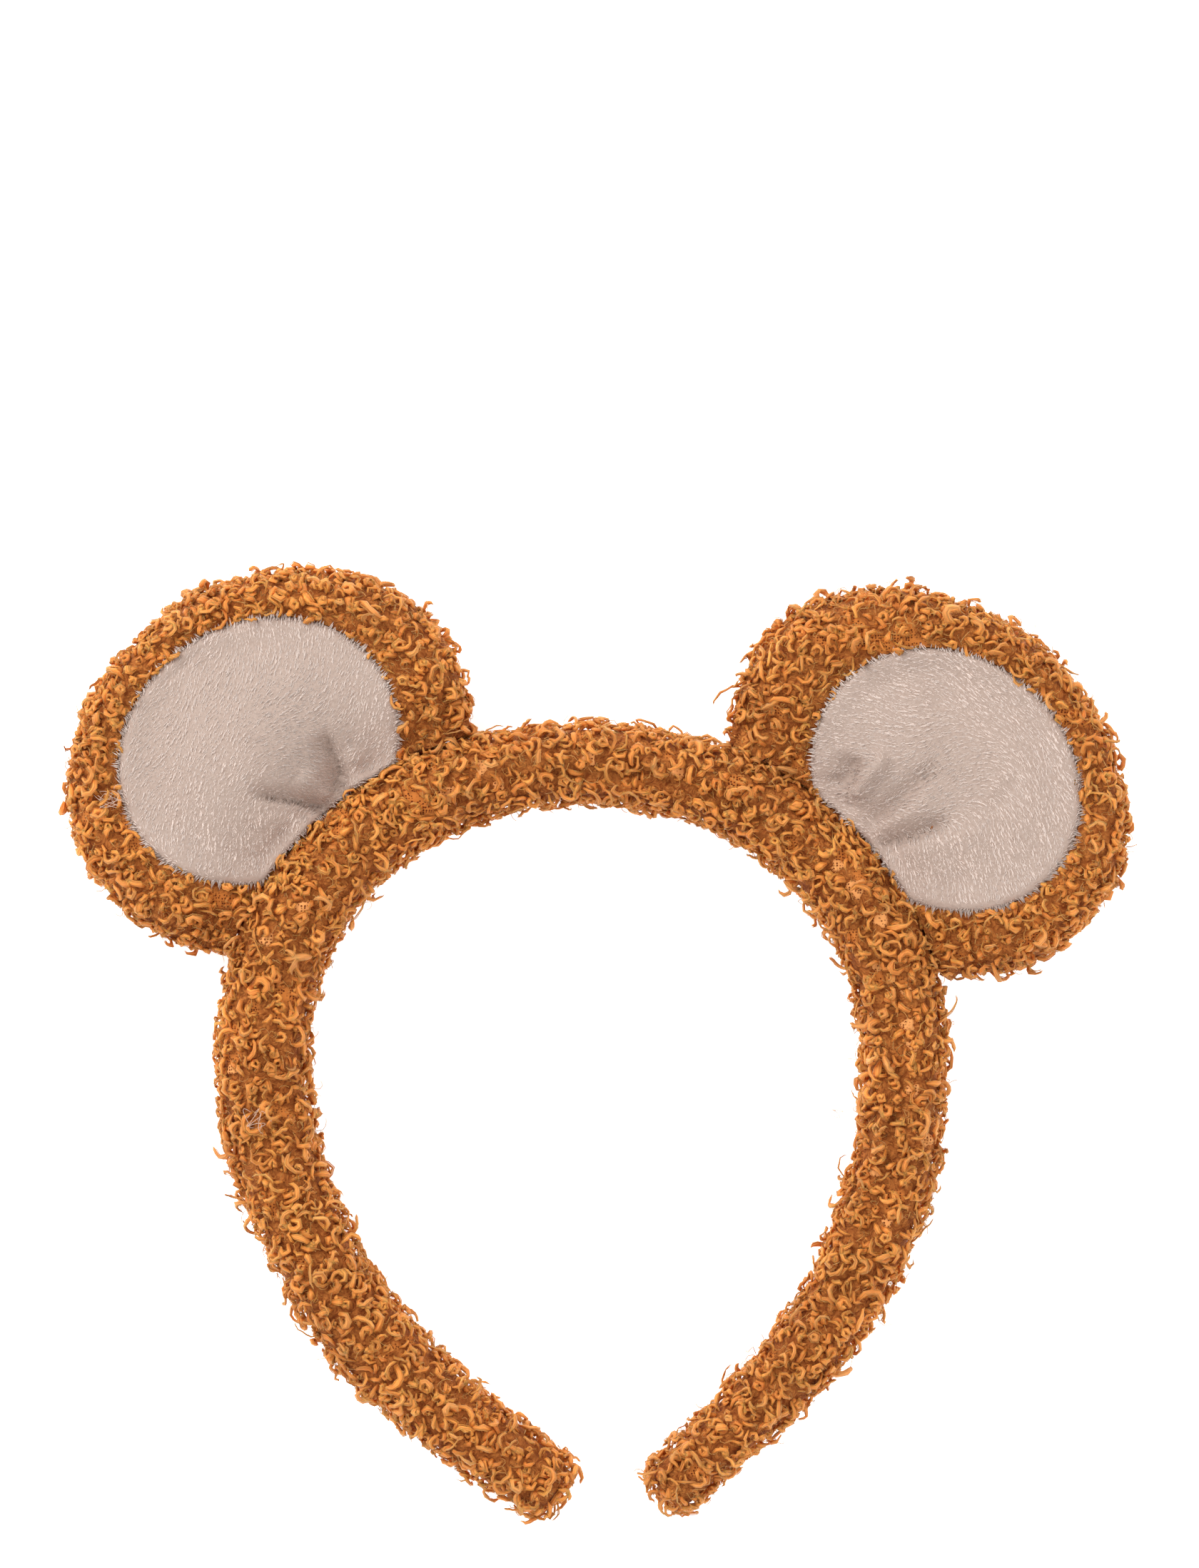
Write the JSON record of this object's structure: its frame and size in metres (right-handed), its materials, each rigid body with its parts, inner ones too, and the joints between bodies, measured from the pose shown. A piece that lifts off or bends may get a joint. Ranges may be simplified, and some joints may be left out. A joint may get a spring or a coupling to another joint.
{
  "type": "bear ears headband",
  "caption": "Padded curly plush headband, open at the bottom between its tips, with round stuffed bear ears whose short-pile inner panels fold where they are sewn to the band.",
  "frame": {"origin": "centre of the whole object's footprint, at the level that its back side lies on", "axes": "+Z out of the side that faces forwards when worn, +Y from the tips towards the crown and the ears, +X to the right in that front view"},
  "size_m": [0.2316, 0.2076, 0.0267],
  "materials": {
    "plush": "curly caramel-brown pile on a knitted ground",
    "velour": "short brushed grey-beige pile"
  },
  "bodies": {
    "root": {"band": "plush", "ear_left_back": "plush", "ear_left_rim": "plush", "ear_left_inner": "velour", "ear_right_back": "plush", "ear_right_rim": "plush", "ear_right_inner": "velour"}
  },
  "joints": []
}
